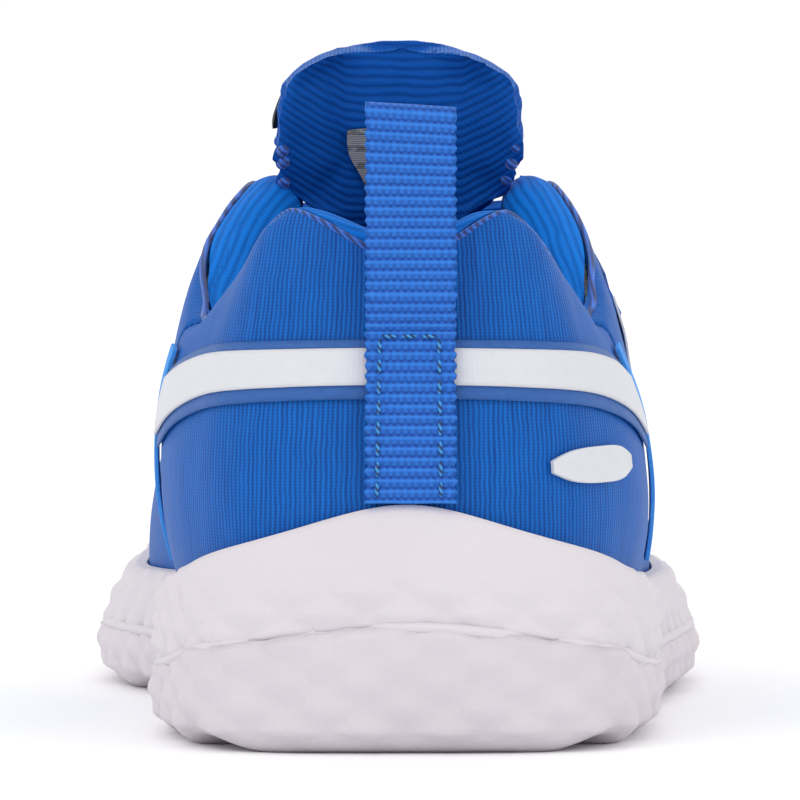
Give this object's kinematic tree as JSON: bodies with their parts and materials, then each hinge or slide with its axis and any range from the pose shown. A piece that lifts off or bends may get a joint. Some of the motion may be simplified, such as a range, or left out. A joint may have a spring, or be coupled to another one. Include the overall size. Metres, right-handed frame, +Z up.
{
  "type": "child training shoe",
  "caption": "Low child's training shoe for the right foot: cupped foam sole, knitted upper, padded collar with heel pull tab, padded tongue, elastic laces and a hook-and-loop strap.",
  "frame": {"origin": "on the ground under the middle of the sole's box", "axes": "+Z up, +Y towards the toe, +X towards the outer side of the right foot"},
  "size_m": [0.0686, 0.1658, 0.0752],
  "materials": {
    "tread_rubber": "matt moulded rubber",
    "sole_foam": "matt moulded foam skin",
    "board": "pressed fibre board",
    "knit": "satin warp knit",
    "lining": "ribbed knit",
    "padding": "open-cell foam",
    "overlay": "smooth bonded film",
    "band_film": "matt transfer film",
    "white_film": "matt transfer film",
    "webbing": "grosgrain webbing",
    "hook_and_loop": "hook and loop tape",
    "label": "woven satin label",
    "badge": "soft moulded plastic",
    "elastic": "flat braided elastic"
  },
  "bodies": {
    "shoe": {"outsole": "tread_rubber", "midsole": "sole_foam", "strobel_board": "board", "heel_panel": "knit", "quarter_lateral": "knit", "quarter_medial": "knit", "vamp": "knit", "heel_counter": "board", "toe_puff": "board", "collar_foam": "padding", "heel_lining": "lining", "collar_lining_lateral": "lining", "collar_lining_medial": "lining", "vamp_lining": "lining", "heel_band_base": "band_film", "heel_band_stripe": "white_film", "heel_piping_lateral": "overlay", "heel_piping_medial": "overlay", "side_stripe_rear_lateral": "white_film", "side_stripe_front_lateral": "band_film", "side_stripe_rear_medial": "white_film", "side_stripe_front_medial": "band_film", "heel_badge": "white_film", "eyestay_lateral": "overlay", "eyestay_medial": "overlay", "toe_guard": "overlay", "pull_tab_base": "webbing", "tongue_lower_shell": "knit", "tongue_lower_lining": "lining", "strap_anchor": "webbing", "strap_loop_patch": "hook_and_loop", "elastic_lace_1": "elastic", "elastic_lace_2": "elastic", "elastic_lace_3": "elastic"},
    "sock": {"sockliner": "lining"},
    "pull_loop": {"pull_tab_loop": "webbing"},
    "tongue_top": {"tongue_top_shell": "knit", "tongue_top_pad": "padding", "tongue_top_lining": "lining", "tongue_badge": "badge", "tongue_label": "label"},
    "strap": {"strap": "knit", "strap_hook_patch": "hook_and_loop"}
  },
  "joints": [
    {"name": "sock_lift", "type": "hinge", "parent": "shoe", "child": "sock", "pos_m": [-0.0018, 0.0725, 0.0122], "axis": [-1, 0, 0], "range_deg": [0, 4]},
    {"name": "pull_loop_fold", "type": "hinge", "parent": "shoe", "child": "pull_loop", "pos_m": [0.00145, -0.08024, 0.0455], "axis": [1, 0, 0], "range_deg": [0, 75], "stiffness_Nm_per_rad": 0.002},
    {"name": "tongue_flex", "type": "hinge", "parent": "shoe", "child": "tongue_top", "pos_m": [0.00015, -0.0109, 0.0567], "axis": [-1, 0, 0], "range_deg": [0, 18], "stiffness_Nm_per_rad": 0.05},
    {"name": "strap_open", "type": "hinge", "parent": "shoe", "child": "strap", "pos_m": [-0.0239, 0.005, 0.0426], "axis": [0.055, -0.972, 0.2285], "range_deg": [0, 100]}
  ]
}
